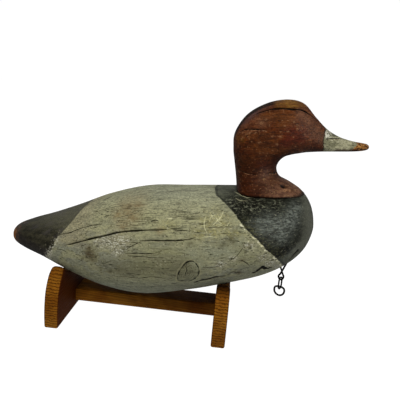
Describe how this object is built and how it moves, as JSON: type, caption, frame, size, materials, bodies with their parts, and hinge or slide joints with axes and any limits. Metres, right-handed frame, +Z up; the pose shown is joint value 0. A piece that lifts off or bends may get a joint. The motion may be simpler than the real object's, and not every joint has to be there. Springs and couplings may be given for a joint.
{
  "type": "duck decoy on a cradle stand",
  "caption": "Carved wooden working decoy of a redheaded drake in worn paint, with a wire line tie and ring under the breast, held level on a two-board wooden cradle",
  "frame": {"origin": "on the floor, under the middle of the whole part's box", "axes": "+Z up, +X toward the bill, so the tail is at -X and the duck's right side faces -Y"},
  "size_m": [0.3797, 0.1666, 0.2512],
  "materials": {
    "body_paint": "worn satin paint over wood",
    "head_paint": "worn satin paint over wood",
    "iron": "dark rusted wire",
    "stand_wood": "varnished, end grain showing"
  },
  "bodies": {
    "root": {"body": "body_paint", "head": "head_paint", "line_tie_wire": "iron", "swivel_link": "iron", "anchor_ring": "iron", "stand_end_rear": "stand_wood", "stand_end_front": "stand_wood", "stand_rail": "stand_wood"}
  },
  "joints": []
}
